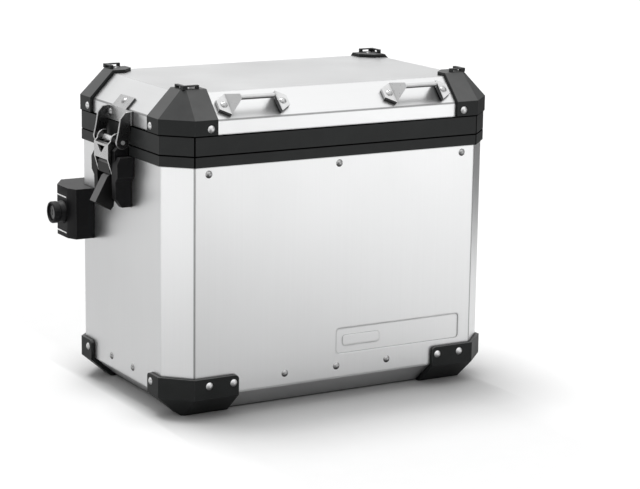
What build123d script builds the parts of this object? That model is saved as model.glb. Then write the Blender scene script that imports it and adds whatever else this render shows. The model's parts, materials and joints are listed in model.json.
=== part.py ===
from build123d import *
import os
from math import hypot, sqrt

# Aluminium motorcycle side case, millimetres.
# Origin: middle of the flat underside. X runs along the case, +Y points to the motorcycle, +Z is up.

# Sheet body
CASE_LENGTH = 440.0
CASE_WIDTH = 272.0
CORNER_CUT = 29.0
SHEET = 1.5
END = CASE_LENGTH / 2
SIDE = CASE_WIDTH / 2

# Levels above the ground
BASE_FOLD = 28.0
PAN_LIP_TOP = 54.0
BODY_RIM_LOW = 299.0
SPLIT = 312.0
SPLIT_GAP = 0.8
RIM_GAP = 0.3
LID_RIM_TOP = 335.0
LID_FOLD = 352.0
LID_TOP = 381.0

# Folded slopes under the body and round the lid
BASE_RUN = 32.5
BASE_POINT = 3.0
LID_RUN = 28.0
LID_RISE = LID_TOP - LID_FOLD
LID_POINT = 4.5

# Rims where body and lid meet
RIM_PROUD = 2.6
RIM_WEB = 2.4
RIM_LEDGE = 8.5
RIM_FLANGE = 2.0
BODY_FLANGE_LOW = 284.0
LID_FLANGE_TOP = 330.0
SEAL_OUTER = 3.5
SEAL_INNER = 7.5
SEAL_DEPTH = 1.4
SEAL_SQUEEZE_GAP = 0.1

# Pressed panel in the front wall
PANEL_LENGTH = 175.0
PANEL_HEIGHT = 31.0
PANEL_DEPTH = 1.2
PANEL_X = 87.0
PANEL_Z = 73.0
PANEL_CORNER = 4.0
PAD_LENGTH = 52.0
PAD_HEIGHT = 13.0
PAD_RAISE = 0.7
PAD_INSET = 9.0

# Corner guards
BASE_GUARD = 5.0
BASE_GUARD_TOP = 50.0
BASE_GUARD_ALONG = 85.0
BASE_GUARD_ACROSS = 56.0
BASE_GUARD_FOOT_ALONG = 85.0
BASE_GUARD_FOOT_ACROSS = 50.0
BASE_GUARD_POINT = 2.5
LID_GUARD = 4.0
LID_GUARD_REACH = 57.0
LID_GUARD_DIAGONAL = 43.0
LID_GUARD_POINT = 5.0
EYE_LENGTH = 21.0
EYE_HEIGHT = 4.8
EYE_THICK = 4.5
EYE_SLOT_LENGTH = 11.0
EYE_SLOT_HEIGHT = 2.6
EYE_SLOT_SHIFT = 1.5
EYE_SLOT_DROP = 0.4
EYE_INSET = LID_RUN - 1.0

# Rivets
HEAD_RADIUS = 4.5
HEAD_HEIGHT = 2.2
SHANK_RADIUS = 2.4
HEAD_DOME_RADIUS = (HEAD_RADIUS**2 + HEAD_HEIGHT**2) / (2 * HEAD_HEIGHT)
RIM_RIVET_X = (-173.0, 0.0, 173.0)
RIM_RIVET_Z = 290.5
PAN_RIVET_X = (-71.0, 0.0, 71.0)
PAN_RIVET_Y = (-30.0, 30.0)
PAN_RIVET_Z = 42.5
BASE_GUARD_RIVET_X = (142.0, 174.0)
BASE_GUARD_RIVET_Y = 89.0
BASE_GUARD_RIVET_Z = 41.0
LID_GUARD_RIVET_X = 172.0
LID_GUARD_RIVET_Y = 87.0
LID_GUARD_RIVET_Z = 343.0
FLAP_RIVET_X = 180.0
FLAP_RIVET_Y = 98.0
SHEET_GRIP = 5.0
GUARD_GRIP = 9.0

# Hexagon sockets, as shares of the screw head
SOCKET_SIZE = 0.5
SOCKET_DEPTH = 0.6

# Tie-down handles on the front slope of the lid
HANDLE_X = 111.0
HANDLE_FOOT_THICK = 5.0
HANDLE_FOOT_EDGE = 33.0
HANDLE_FOOT_LENGTH = 13.0
HANDLE_FOOT_LOW = 4.0
HANDLE_FOOT_HIGH = 33.0
HANDLE_TIP_LOW = 12.0
HANDLE_TIP_HIGH = 25.0
HANDLE_RIVET = 38.5
HANDLE_BAR_HALF = 22.0
HANDLE_BAR_WIDE = 6.6
HANDLE_BAR_THICK = 6.2
HANDLE_ROD_RADIUS = 2.9
HANDLE_BAR_UP = 18.0
HANDLE_BAR_OUT = 17.0

# Latches: OUT is measured from the end wall, Z from the ground
BAR_OUT = 13.0
BAR_Z = 315.8
BAR_RADIUS = 3.5
BAR_HALF = 30.0
BAR_END_RADIUS = 2.5
EAR_THICK = 3.0
EAR_RADIUS = 8.0
BAR_HEAD_PROUD = 1.2
BRACKET_PLATE = 2.5
BRACKET_HALF = 34.0
BRACKET_SLOPE_HALF = 19.0
BRACKET_SLOPE_REACH = 16.0
BRACKET_RIVET_Y = 24.0
BRACKET_FOLD_OVERLAP = 5.0
LEVER_PIVOT_OUT = 12.8
LEVER_PIVOT_Z = 281.65
LEVER_PIN_RADIUS = 2.0
HOOK_PIVOT_OUT = 17.9
HOOK_PIVOT_Z = 278.65
HOOK_PIN_RADIUS = 1.8
PIN_CLEARANCE = 0.05
LEVER_HALF = 8.0
LEVER_HEAD_HALF = 16.5
LEVER_HEAD_OUT = 22.8
LEVER_HEAD_LOW_Z = 276.0
LEVER_HEAD_TOP_Z = 290.5
LEVER_HUB_RADIUS = 4.2
LEVER_BOSS_RADIUS = 3.7
HOOK_THICK = 2.6
HOOK_HALF = 19.6
HOOK_EYE_RADIUS = 9.0
HOOK_GRIP_RADIUS = 3.6
HOOK_TIP = 3.0
HOOK_BARREL = 3.6
HOOK_HEEL_IN = 2.2
HOOK_HEEL_UP = 2.8
HOOK_THROAT_LEAN = 1.5
WEB_OUT = 26.0
WEB_LOW_Z = 294.0
WEB_TOP_Z = 311.8
SHELF_DEEP = 7.0
NOTCH_HALF = 10.5
NOTCH_BOTTOM_HALF = 2.0
NOTCH_BOTTOM_Z = 301.0
HOUSING_LOW_Z = 238.0
HOUSING_TOP_Z = 298.3
HOUSING_DEEP = 22.0
HOUSING_BACK = 3.0
HOUSING_HALF = 30.0
HOUSING_UPPER_HALF = 36.5
HOUSING_UPPER_Z = 275.0
HOUSING_STEP = 6.0
HOUSING_NECK_HALF = 27.5
HOUSING_NECK_Z = 309.0
HOUSING_NECK_BACK = 4.0
RECESS_HALF = 20.3
LEVER_PIN_HALF = HOUSING_HALF - 2.0
LATCH_SCREW_YZ = ((0.0, 254.0), (-12.0, 293.0), (12.0, 293.0))
LATCH_SCREW = {"head_radius": 3.6, "head_height": 2.2, "shank_radius": 2.0, "grip": 8.0}

# Side views of latch pieces, as OUT and Z
EAR_PROFILE = [
    (0.0, LID_RIM_TOP + RIM_GAP),
    (0.0, LID_FOLD - 0.5),
    (9.5, LID_FOLD - 1.5),
    (15.4, LID_FOLD - 8.2),
    (18.0, LID_FOLD - 23.0),
    (BAR_OUT + EAR_RADIUS, BAR_Z),
    (BAR_OUT - EAR_RADIUS, BAR_Z),
    (3.0, LID_RIM_TOP + RIM_GAP),
]
LEVER_GRIP_PROFILE = [
    (LEVER_PIVOT_OUT - LEVER_HUB_RADIUS, LEVER_PIVOT_Z),
    (21.6, 272.0),
    (37.3, 243.0),
    (17.5, 231.5),
    (13.5, 236.0),
    (11.0, 255.0),
]
LEVER_HEAD_PROFILE = [
    (LEVER_PIVOT_OUT - 1.0, LEVER_HEAD_LOW_Z),
    (LEVER_HEAD_OUT - 1.5, LEVER_HEAD_LOW_Z),
    (LEVER_HEAD_OUT, LEVER_HEAD_LOW_Z + 4.0),
    (LEVER_HEAD_OUT, LEVER_HEAD_TOP_Z - 2.0),
    (LEVER_HEAD_OUT - 2.0, LEVER_HEAD_TOP_Z),
    (LEVER_PIVOT_OUT + 1.0, LEVER_HEAD_TOP_Z),
    (LEVER_PIVOT_OUT - 1.0, LEVER_HEAD_TOP_Z - 3.0),
]
HOUSING_PROFILE = [
    (0.0, HOUSING_LOW_Z),
    (13.0, HOUSING_LOW_Z),
    (HOUSING_DEEP - 1.0, HOUSING_LOW_Z + 11.0),
    (HOUSING_DEEP, LEVER_HEAD_TOP_Z),
    (HOUSING_DEEP - 4.0, HOUSING_TOP_Z),
    (0.0, HOUSING_TOP_Z),
]
HOUSING_NECK_PROFILE = [
    (HOUSING_NECK_BACK, HOUSING_TOP_Z - 1.0),
    (HOUSING_DEEP - 1.0, LEVER_HEAD_TOP_Z),
    (HOUSING_DEEP - 1.0, HOUSING_NECK_Z - 4.0),
    (HOUSING_DEEP - 5.0, HOUSING_NECK_Z),
    (HOUSING_NECK_BACK, HOUSING_NECK_Z),
]

# Carrier lock on the rear left corner
LOCK_LOW_Z = 180.0
LOCK_HEIGHT = 62.0
LOCK_Y = 105.0
LOCK_Z = 211.0
LOCK_FACE_OUT = 30.0
BARREL_ROOT_RADIUS = 14.0
BARREL_NECK_RADIUS = 11.3
BARREL_RIM_RADIUS = 13.4
BARREL_RIM_OUT = 38.0
BARREL_END_OUT = 46.0
BARREL_SEAT = 8.0
CYLINDER_RADIUS = 8.0
CYLINDER_FACE_OUT = 43.5
CYLINDER_BACK_OUT = 9.0
CRANK = 5.0
CRANK_PIN_RADIUS = 2.0
CRANK_SLOT_CLEARANCE = 0.25
CLAW_OUT = 1.5
CLAW_THICK = 5.0
CLAW_LOW_Z = 203.0
CLAW_HEIGHT = 18.0
CLAW_FRONT_Y = 97.0
CLAW_REAR_Y = 160.0
CLAW_TRAVEL = CRANK * sqrt(2)
CLAW_CLEARANCE = 0.3
CLAW_SLOT_SPARE = 2.0
CLAW_NOTCH_LENGTH = 5.0
CLAW_NOTCH_HEIGHT = 8.0
CRANK_SLOT_SPARE = 1.0
CRANK_PIN_GAP = 1.0
LOCK_REAR_Y = 149.0
LOCK_FRONT_Y = 78.0
LOCK_CORNER = 13.0
LOCK_CORNER_OUT = 24.0
LOCK_BEND_Y = 122.0
LOCK_HEEL_OUT = 13.0
LOCK_WRAP = 46.0
LOCK_SCREW_IN = 36.0
LOCK_SCREW_MARGIN = 14.0
LOCK_SCREW = {"head_radius": 4.5, "head_height": 3.0, "shank_radius": 2.5, "grip": 19.0}
SLIT_DEPTH = 26.0
SLIT_FRONT_Y = 94.0
SLIT_HEIGHT = 1.8
SLIT_Z = (186.0, 230.0)
BARREL_FLANGE = 1.5
BARREL_LIP = 2.6
BARREL_CUP = 2.5
BARREL_BEVEL = 1.0
KEY_SLOT_LENGTH = 8.0
KEY_SLOT_WIDTH = 1.6
KEY_SLOT_DEPTH = 9.0

# Hooks that hang the case on the carrier tube
TUBE_SEAT_RADIUS = 9.1
TUBE_Y = 151.0
TUBE_Z = 62.0
HOOK_WALL = 4.6
HOOK_BLOCK_HALF = 15.0
HOOK_PLATE_THICK = 4.0
HOOK_PLATE_HALF = 27.0
HOOK_PLATE_LOW_Z = 56.0
HOOK_PLATE_TOP_Z = 104.0
HOOK_BLOCK_HEIGHT = 27.0
HOOK_MOUTH_Z = 52.0
CARRIER_HOOK_X = 120.0
CARRIER_RIVET_X = 21.0
CARRIER_RIVET_Z = (77.5, 97.0)


def octagon(length, width, corner, level):
    """Rectangle with 45 degree corners on a level plane."""
    with BuildSketch(Plane.XY.offset(level)) as outline:
        Rectangle(length, width)
        chamfer(outline.vertices(), corner)
    return outline.sketch


def case_outline(outset, level):
    """Outline of the case with its walls moved outwards by outset."""
    corner = CORNER_CUT + (2 - sqrt(2)) * outset
    return octagon(CASE_LENGTH + 2 * outset, CASE_WIDTH + 2 * outset, corner, level)


def band(outset, inset, low, high):
    """Upright ring between two offsets of the case outline."""
    with BuildPart() as ring:
        extrude(case_outline(outset, low), amount=high - low)
        extrude(case_outline(-inset, low), amount=high - low, mode=Mode.SUBTRACT)
    return ring.part


def base_block(side, slope, floor, ceiling, point):
    """Lower end of the case as a solid, its walls and slopes moved outwards."""
    shift = slope * hypot(BASE_RUN, BASE_FOLD) / BASE_FOLD
    fold = BASE_FOLD - (shift - side) * BASE_FOLD / BASE_RUN
    inset = BASE_RUN * (BASE_FOLD - floor) / BASE_FOLD - shift
    foot = octagon(CASE_LENGTH - 2 * inset, CASE_WIDTH - 2 * inset, point, floor)
    with BuildPart() as block:
        if ceiling > fold:
            extrude(case_outline(side, fold), amount=ceiling - fold)
        loft([foot, case_outline(side, fold)], ruled=True)
    return block.part


def lid_block(side, slope, floor, top, point):
    """Upper end of the case as a solid, its walls and slopes moved outwards."""
    shift = slope * hypot(LID_RUN, LID_RISE) / LID_RISE
    fold = LID_FOLD + (shift - side) * LID_RISE / LID_RUN
    inset = LID_RUN * (top - LID_FOLD) / LID_RISE - shift
    crown = octagon(CASE_LENGTH - 2 * inset, CASE_WIDTH - 2 * inset, point, top)
    with BuildPart() as block:
        extrude(case_outline(side, floor), amount=fold - floor)
        loft([case_outline(side, fold), crown], ruled=True)
    return block.part


def rivets(places, grip):
    """Domed rivets, each with its head on the face that its plane marks."""
    with BuildPart() as one:
        with BuildSketch(Plane.XZ):
            with BuildLine():
                Polyline(
                    (0, HEAD_HEIGHT),
                    (0, -grip),
                    (SHANK_RADIUS, -grip),
                    (SHANK_RADIUS, 0),
                    (HEAD_RADIUS, 0),
                )
                RadiusArc((HEAD_RADIUS, 0), (0, HEAD_HEIGHT), -HEAD_DOME_RADIUS)
            make_face()
        revolve(axis=Axis.Z)
    with BuildPart() as group:
        with Locations(*places):
            add(one.part)
    return group.part


def screws(places, head_radius, head_height, shank_radius, grip):
    """Pan head screws with a hexagon socket."""
    with BuildPart() as one:
        Cylinder(head_radius, head_height, align=(Align.CENTER, Align.CENTER, Align.MIN))
        Cylinder(shank_radius, grip, align=(Align.CENTER, Align.CENTER, Align.MAX))
        with BuildSketch(Plane.XY.offset(head_height)):
            RegularPolygon(head_radius * SOCKET_SIZE, 6)
        extrude(amount=-head_height * SOCKET_DEPTH, mode=Mode.SUBTRACT)
    with BuildPart() as group:
        with Locations(*places):
            add(one.part)
    return group.part


def shank_holes(places, radius, grip):
    """Holes that the shanks of a group of fasteners fill."""
    with BuildPart() as holes:
        with Locations(*places):
            Cylinder(radius, grip, align=(Align.CENTER, Align.CENTER, Align.MAX))
    return holes.part


def on_long_walls(xs, z, proud=0.0):
    """Planes on the front and rear walls, facing out."""
    return [
        Plane((x, facing * (SIDE + proud), z), x_dir=(1, 0, 0), z_dir=(0, facing, 0))
        for facing in (-1, 1)
        for x in xs
    ]


def on_end_walls(ys, z, proud=0.0):
    """Planes on the left and right end walls, facing out."""
    return [
        Plane((facing * (END + proud), y, z), x_dir=(0, 1, 0), z_dir=(facing, 0, 0))
        for facing in (-1, 1)
        for y in ys
    ]


def both_ways(values):
    return [sign * value for value in values for sign in (-1, 1)]


def mirrored(part):
    with BuildPart() as other:
        mirror(part, about=Plane.YZ)
    return other.part


def on_end(profile):
    """Side view points of a latch piece on the right end wall."""
    return [(END + out, z) for out, z in profile]


def corner_copy(part, mirrors):
    """Copy of the rear right corner piece on another corner."""
    with BuildPart() as first:
        add(part)
    copy = first.part
    for plane in mirrors:
        with BuildPart() as turned:
            mirror(copy, about=plane)
        copy = turned.part
    return copy


def finish(part, name):
    part.label = name
    export_step(part, f"parts/{name}.step")


CORNERS = {
    "rear_right": (),
    "rear_left": (Plane.YZ,),
    "front_right": (Plane.XZ,),
    "front_left": (Plane.YZ, Plane.XZ),
}

os.makedirs("parts", exist_ok=True)

# Where every rivet sits
RIM_PLACES = on_long_walls(RIM_RIVET_X, RIM_RIVET_Z)
PAN_PLACES = on_long_walls(PAN_RIVET_X, PAN_RIVET_Z) + on_end_walls(PAN_RIVET_Y, PAN_RIVET_Z)
BASE_GUARD_PLACES = on_long_walls(
    both_ways(BASE_GUARD_RIVET_X), BASE_GUARD_RIVET_Z, BASE_GUARD
) + on_end_walls(both_ways([BASE_GUARD_RIVET_Y]), BASE_GUARD_RIVET_Z, BASE_GUARD)
CARRIER_PLACES = [
    Plane((side * CARRIER_HOOK_X + shift, SIDE + HOOK_PLATE_THICK, z), x_dir=(1, 0, 0), z_dir=(0, 1, 0))
    for side in (-1, 1)
    for shift in (-CARRIER_RIVET_X, CARRIER_RIVET_X)
    for z in CARRIER_RIVET_Z
]
FLAP_PLACES = [
    Plane((x, y, LID_TOP + LID_GUARD))
    for x in (-FLAP_RIVET_X, FLAP_RIVET_X)
    for y in (-FLAP_RIVET_Y, FLAP_RIVET_Y)
]
LID_GUARD_PLACES = (
    on_long_walls(both_ways([LID_GUARD_RIVET_X]), LID_GUARD_RIVET_Z, LID_GUARD)
    + on_end_walls(both_ways([LID_GUARD_RIVET_Y]), LID_GUARD_RIVET_Z, LID_GUARD)
    + FLAP_PLACES
)
FRONT_SLOPE = Plane((0, -SIDE, LID_FOLD), x_dir=(1, 0, 0), z_dir=(0, -LID_RISE, LID_RUN))
HANDLE_PLACES = [
    Plane(
        FRONT_SLOPE.from_local_coords((middle + foot, HANDLE_BAR_UP, HANDLE_FOOT_THICK)),
        x_dir=FRONT_SLOPE.x_dir,
        z_dir=FRONT_SLOPE.z_dir,
    )
    for middle in (-HANDLE_X, HANDLE_X)
    for foot in (-HANDLE_RIVET, HANDLE_RIVET)
]
RIGHT_SLOPE = Plane((END, 0, LID_FOLD), x_dir=(0, 1, 0), z_dir=(LID_RISE, 0, LID_RUN))
LEFT_SLOPE = Plane((-END, 0, LID_FOLD), x_dir=(0, -1, 0), z_dir=(-LID_RISE, 0, LID_RUN))
BRACKET_PLACES = on_end_walls(
    both_ways([BRACKET_RIVET_Y]), LID_GUARD_RIVET_Z + 1, BRACKET_PLATE
) + [
    Plane(
        slope.from_local_coords((0, BRACKET_SLOPE_REACH / 2 + 1, BRACKET_PLATE)),
        x_dir=slope.x_dir,
        z_dir=slope.z_dir,
    )
    for slope in (LEFT_SLOPE, RIGHT_SLOPE)
]

LATCH_SCREW_PLACES = [
    Plane((END + HOUSING_BACK, y, z), x_dir=(0, 1, 0), z_dir=(1, 0, 0)) for y, z in LATCH_SCREW_YZ
]
LOCK_SCREW_PLACES = [
    Plane((-END + LOCK_SCREW_IN, LOCK_REAR_Y, z), x_dir=(1, 0, 0), z_dir=(0, 1, 0))
    for z in (LOCK_LOW_Z + LOCK_SCREW_MARGIN, LOCK_LOW_Z + LOCK_HEIGHT - LOCK_SCREW_MARGIN)
]

# Holes that the fasteners fill
LATCH_HOLES = shank_holes(LATCH_SCREW_PLACES, LATCH_SCREW["shank_radius"], LATCH_SCREW["grip"])
LOCK_HOLES = shank_holes(LOCK_SCREW_PLACES, LOCK_SCREW["shank_radius"], LOCK_SCREW["grip"])
RIM_HOLES = shank_holes(RIM_PLACES, SHANK_RADIUS, SHEET_GRIP)
PAN_HOLES = shank_holes(PAN_PLACES, SHANK_RADIUS, SHEET_GRIP)
BASE_GUARD_HOLES = shank_holes(BASE_GUARD_PLACES, SHANK_RADIUS, GUARD_GRIP)
CARRIER_HOLES = shank_holes(CARRIER_PLACES, SHANK_RADIUS, GUARD_GRIP)
LID_GUARD_HOLES = shank_holes(LID_GUARD_PLACES, SHANK_RADIUS, GUARD_GRIP)
HANDLE_HOLES = shank_holes(HANDLE_PLACES, SHANK_RADIUS, GUARD_GRIP)
BRACKET_HOLES = shank_holes(BRACKET_PLACES, SHANK_RADIUS, SHEET_GRIP)


def make_body_shell():
    """Wall sheet wrapped round the case, with a pressed panel in front."""
    walls = band(0, SHEET, BASE_FOLD, SPLIT - SPLIT_GAP / 2 - RIM_WEB)
    front = Plane((PANEL_X, -SIDE, PANEL_Z), x_dir=(1, 0, 0), z_dir=(0, -1, 0))
    inside = Plane((PANEL_X, -SIDE + SHEET, PANEL_Z), x_dir=(1, 0, 0), z_dir=(0, 1, 0))
    pad = Plane(
        (PANEL_X - PANEL_LENGTH / 2 + PAD_LENGTH / 2 + PAD_INSET, -SIDE + PANEL_DEPTH, PANEL_Z),
        x_dir=(1, 0, 0),
        z_dir=(0, -1, 0),
    )
    with BuildPart() as shell:
        add(walls)
        with BuildSketch(inside):
            RectangleRounded(PANEL_LENGTH + 2 * SHEET, PANEL_HEIGHT + 2 * SHEET, PANEL_CORNER + SHEET)
        extrude(amount=PANEL_DEPTH)
        with BuildSketch(front):
            RectangleRounded(PANEL_LENGTH, PANEL_HEIGHT, PANEL_CORNER)
        extrude(amount=-PANEL_DEPTH, mode=Mode.SUBTRACT)
        with BuildSketch(pad):
            RectangleRounded(PAD_LENGTH, PAD_HEIGHT, PANEL_CORNER)
        extrude(amount=PAD_RAISE)
        add([RIM_HOLES, PAN_HOLES, BASE_GUARD_HOLES, CARRIER_HOLES], mode=Mode.SUBTRACT)
        add([LATCH_HOLES, mirrored(LATCH_HOLES), LOCK_HOLES], mode=Mode.SUBTRACT)
    return shell.part


def make_base_pan():
    """Folded floor whose lip is riveted inside the wall sheet."""
    outside = base_block(0, 0, 0, BASE_FOLD, BASE_POINT)
    cavity = base_block(-2 * SHEET, -SHEET, SHEET, PAN_LIP_TOP, BASE_POINT)
    with BuildPart() as pan:
        add(outside)
        extrude(case_outline(-SHEET, BASE_FOLD), amount=PAN_LIP_TOP - BASE_FOLD)
        add(cavity, mode=Mode.SUBTRACT)
        add([PAN_HOLES, BASE_GUARD_HOLES], mode=Mode.SUBTRACT)
    return pan.part


def make_body_rim():
    """Moulded rim that caps the wall sheet and carries the seal's seat."""
    web_low = SPLIT - SPLIT_GAP / 2 - RIM_WEB
    web = band(RIM_PROUD, SHEET + RIM_LEDGE, web_low, web_low + RIM_WEB)
    outer = band(RIM_PROUD, 0, BODY_RIM_LOW, web_low)
    inner = band(-SHEET, SHEET + RIM_FLANGE, BODY_FLANGE_LOW, web_low)
    with BuildPart() as rim:
        add([web, outer, inner])
        add([RIM_HOLES, LATCH_HOLES, mirrored(LATCH_HOLES)], mode=Mode.SUBTRACT)
    return rim.part


def make_lid_rim():
    """Moulded rim round the lid's edge, with a groove for the seal."""
    low = SPLIT + SPLIT_GAP / 2
    web = band(RIM_PROUD, SHEET + RIM_LEDGE, low, low + RIM_WEB)
    groove = band(-SEAL_OUTER, SEAL_INNER, low, low + SEAL_DEPTH)
    outer = band(RIM_PROUD, 0, low + RIM_WEB, LID_RIM_TOP)
    inner = band(-SHEET, SHEET + RIM_FLANGE, low + RIM_WEB, LID_FLANGE_TOP)
    with BuildPart() as rim:
        add([web, outer, inner])
        add(groove, mode=Mode.SUBTRACT)
    return rim.part


def make_lid_seal():
    """Rubber strip in the lid rim's groove, standing just off the body rim."""
    low = SPLIT - SPLIT_GAP / 2 + SEAL_SQUEEZE_GAP
    return band(-SEAL_OUTER, SEAL_INNER, low, SPLIT + SPLIT_GAP / 2 + SEAL_DEPTH)


def make_lid_shell():
    """Folded lid sheet: skirt, four slopes and top."""
    low = SPLIT + SPLIT_GAP / 2 + RIM_WEB
    outside = lid_block(0, 0, low, LID_TOP, LID_POINT)
    cavity = lid_block(-SHEET, -SHEET, low, LID_TOP - SHEET, LID_POINT)
    with BuildPart() as shell:
        add(outside)
        add(cavity, mode=Mode.SUBTRACT)
        add([LID_GUARD_HOLES, HANDLE_HOLES, BRACKET_HOLES], mode=Mode.SUBTRACT)
    return shell.part


def make_base_guard():
    """Rear right bottom corner guard, which is also a foot."""
    outside = base_block(BASE_GUARD, BASE_GUARD, 0, BASE_GUARD_TOP, BASE_GUARD_POINT)
    inside = base_block(0, 0, 0, BASE_GUARD_TOP, BASE_POINT)
    margin = 2 * BASE_GUARD
    with BuildPart() as reach:
        for level, along, across in (
            (0, BASE_GUARD_FOOT_ALONG, BASE_GUARD_FOOT_ACROSS),
            (BASE_FOLD, BASE_GUARD_ALONG, BASE_GUARD_ACROSS),
        ):
            with BuildSketch(Plane.XY.offset(level)):
                with Locations((END + margin, SIDE + margin)):
                    Rectangle(along + margin, across + margin, align=(Align.MAX, Align.MAX))
        loft(ruled=True)
        extrude(reach.faces().sort_by(Axis.Z)[-1], amount=BASE_GUARD_TOP)
    with BuildPart() as guard:
        add(outside)
        add(reach.part, mode=Mode.INTERSECT)
        add(inside, mode=Mode.SUBTRACT)
        ear_along = guard.edges().filter_by(Axis.Y).group_by(Axis.Z)[-1].sort_by(Axis.X)[0]
        ear_across = guard.edges().filter_by(Axis.X).group_by(Axis.Z)[-1].sort_by(Axis.Y)[0]
        fillet([ear_along, ear_across], BASE_GUARD)
        add(BASE_GUARD_HOLES, mode=Mode.SUBTRACT)
    return guard.part


def make_lid_guard():
    """Rear right lid corner guard, with a lashing eye along each top edge."""
    low = LID_RIM_TOP + RIM_GAP
    top = LID_TOP + LID_GUARD
    outside = lid_block(LID_GUARD, LID_GUARD, low, top, LID_GUARD_POINT)
    inside = lid_block(0, 0, low, LID_TOP, LID_POINT)
    far = -2 * LID_GUARD
    outline = [
        (far, far),
        (LID_GUARD_REACH, far),
        (LID_GUARD_REACH, LID_GUARD_DIAGONAL),
        (LID_GUARD_DIAGONAL, LID_GUARD_REACH),
        (far, LID_GUARD_REACH),
    ]
    corner = (END - EYE_INSET, SIDE - EYE_INSET, top)
    slot_middle = EYE_INSET + EYE_LENGTH / 2 + EYE_SLOT_SHIFT
    slot_inset = EYE_INSET + EYE_THICK / 2
    slot_level = top + EYE_HEIGHT / 2 - EYE_SLOT_DROP
    with BuildPart() as guard:
        add(outside)
        with BuildSketch(Plane.XY.offset(low)):
            Polygon(*[(END - along, SIDE - across) for along, across in outline], align=None)
        extrude(amount=top, mode=Mode.INTERSECT)
        add(inside, mode=Mode.SUBTRACT)
        with Locations(corner):
            Box(EYE_LENGTH, EYE_THICK, EYE_HEIGHT, align=(Align.MAX, Align.MAX, Align.MIN))
            Box(EYE_THICK, EYE_LENGTH, EYE_HEIGHT, align=(Align.MAX, Align.MAX, Align.MIN))
        with Locations((END - slot_middle, SIDE - slot_inset, slot_level)):
            Box(EYE_SLOT_LENGTH, EYE_THICK, EYE_SLOT_HEIGHT, mode=Mode.SUBTRACT)
        with Locations((END - slot_inset, SIDE - slot_middle, slot_level)):
            Box(EYE_THICK, EYE_SLOT_LENGTH, EYE_SLOT_HEIGHT, mode=Mode.SUBTRACT)
        add(LID_GUARD_HOLES, mode=Mode.SUBTRACT)
    return guard.part


def across_slope(along):
    """Plane square to the front slope, so far along it."""
    origin = FRONT_SLOPE.from_local_coords((along, 0, 0))
    return Plane(origin, x_dir=FRONT_SLOPE.y_dir, z_dir=FRONT_SLOPE.x_dir)


def make_handle(middle):
    """Tie-down handle: two riveted feet, folded webs and a bar off the slope."""
    tip = HANDLE_FOOT_EDGE + HANDLE_FOOT_LENGTH
    foot_points = [
        (HANDLE_FOOT_EDGE, HANDLE_FOOT_LOW),
        (tip, HANDLE_TIP_LOW),
        (tip, HANDLE_TIP_HIGH),
        (HANDLE_FOOT_EDGE, HANDLE_FOOT_HIGH),
    ]
    at_foot = across_slope(HANDLE_FOOT_EDGE)
    at_bar = across_slope(HANDLE_BAR_HALF)
    with BuildPart() as half:
        with BuildSketch(FRONT_SLOPE):
            Polygon(*foot_points, align=None)
        extrude(amount=HANDLE_FOOT_THICK)
        with BuildSketch(at_foot):
            with Locations((HANDLE_FOOT_LOW, 0)):
                Rectangle(
                    HANDLE_FOOT_HIGH - HANDLE_FOOT_LOW,
                    HANDLE_FOOT_THICK,
                    align=(Align.MIN, Align.MIN),
                )
        with BuildSketch(at_bar):
            with Locations((HANDLE_BAR_UP, HANDLE_BAR_OUT)):
                Rectangle(HANDLE_BAR_WIDE, HANDLE_BAR_THICK)
        loft(ruled=True)
        with BuildSketch(at_bar):
            with Locations((HANDLE_BAR_UP, HANDLE_BAR_OUT)):
                Circle(HANDLE_ROD_RADIUS)
        extrude(amount=-HANDLE_BAR_HALF)
    with BuildPart() as whole:
        add(half.part)
        mirror(half.part, about=Plane.YZ)
    with BuildPart() as handle:
        with Locations((middle, 0, 0)):
            add(whole.part)
        add(HANDLE_HOLES, mode=Mode.SUBTRACT)
    return handle.part


# Latch parts are drawn on the right end wall and mirrored to the left one.
def make_latch_bracket():
    """Plate riveted to the lid, with two ears that hold the latch bar."""
    shift = BRACKET_PLATE * hypot(LID_RUN, LID_RISE) / LID_RISE
    outer_fold = LID_FOLD + (shift - BRACKET_PLATE) * LID_RISE / LID_RUN
    tab_low = RIGHT_SLOPE.from_local_coords((0, BRACKET_SLOPE_REACH, 0))
    tab_high = RIGHT_SLOPE.from_local_coords((0, BRACKET_SLOPE_REACH, BRACKET_PLATE))
    with BuildPart() as bracket:
        with Locations((END, 0, LID_RIM_TOP + RIM_GAP)):
            Box(
                BRACKET_PLATE,
                2 * BRACKET_HALF,
                LID_FOLD - LID_RIM_TOP - RIM_GAP,
                align=(Align.MIN, Align.CENTER, Align.MIN),
            )
        with BuildSketch(Plane.XZ):
            Polygon(
                (END, LID_FOLD - BRACKET_FOLD_OVERLAP),
                (END + BRACKET_PLATE, LID_FOLD - BRACKET_FOLD_OVERLAP),
                (END + BRACKET_PLATE, outer_fold),
                (tab_high.X, tab_high.Z),
                (tab_low.X, tab_low.Z),
                (END, LID_FOLD),
                align=None,
            )
        extrude(amount=BRACKET_SLOPE_HALF, both=True)
        for side in (-1, 1):
            with BuildSketch(Plane.XZ.offset(side * BAR_HALF)):
                Polygon(*on_end(EAR_PROFILE), align=None)
                with Locations((END + BAR_OUT, BAR_Z)):
                    Circle(EAR_RADIUS)
                    Circle(BAR_END_RADIUS, mode=Mode.SUBTRACT)
            extrude(amount=side * EAR_THICK)
        add(BRACKET_HOLES, mode=Mode.SUBTRACT)
    return bracket.part


def make_latch_bar():
    """Round bar between the ears: the hook's catch, and the lid's hinge pin."""
    axis = Plane((END + BAR_OUT, 0, BAR_Z), x_dir=(1, 0, 0), z_dir=(0, -1, 0))
    with BuildPart() as bar:
        with BuildSketch(axis):
            Circle(BAR_RADIUS)
        extrude(amount=BAR_HALF, both=True)
        with BuildSketch(axis):
            Circle(BAR_END_RADIUS)
        extrude(amount=BAR_HALF + EAR_THICK + BAR_HEAD_PROUD, both=True)
    return bar.part


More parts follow.
